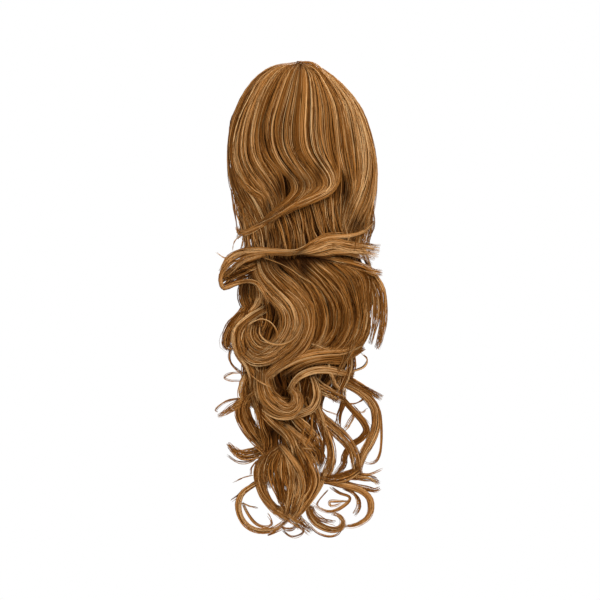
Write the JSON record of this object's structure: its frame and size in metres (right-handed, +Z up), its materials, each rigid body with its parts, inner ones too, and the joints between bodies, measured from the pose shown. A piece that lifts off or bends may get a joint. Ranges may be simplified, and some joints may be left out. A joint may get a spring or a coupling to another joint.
{
  "type": "wavy clip-on ponytail hairpiece",
  "caption": "Hanging false ponytail of wavy golden brown fibre with a rounded crown, flipped-up ends and loose curls, sewn over a claw clip that grips a bun.",
  "frame": {"origin": "middle of the claw clip's mouth, in the plane of its teeth, where it grips the wearer's bun", "axes": "+Z up along the hanging hair and the clip's spine, -Y out of the crown towards the viewer, +Y into the wearer's head, +X to the viewer's right"},
  "size_m": [0.1618, 0.0826, 0.4745],
  "materials": {
    "crown_fibre": "satin synthetic fibre in fine parallel strands, golden brown with honey highlights",
    "long_fibre": "satin synthetic fibre in fine parallel strands, golden brown with darker roots between the locks",
    "clip_plastic": "plain brown moulded plastic, lightly glossy"
  },
  "bodies": {
    "root": {"crown_hair": "crown_fibre", "long_hair": "long_fibre", "claw_clip": "clip_plastic"}
  },
  "joints": []
}
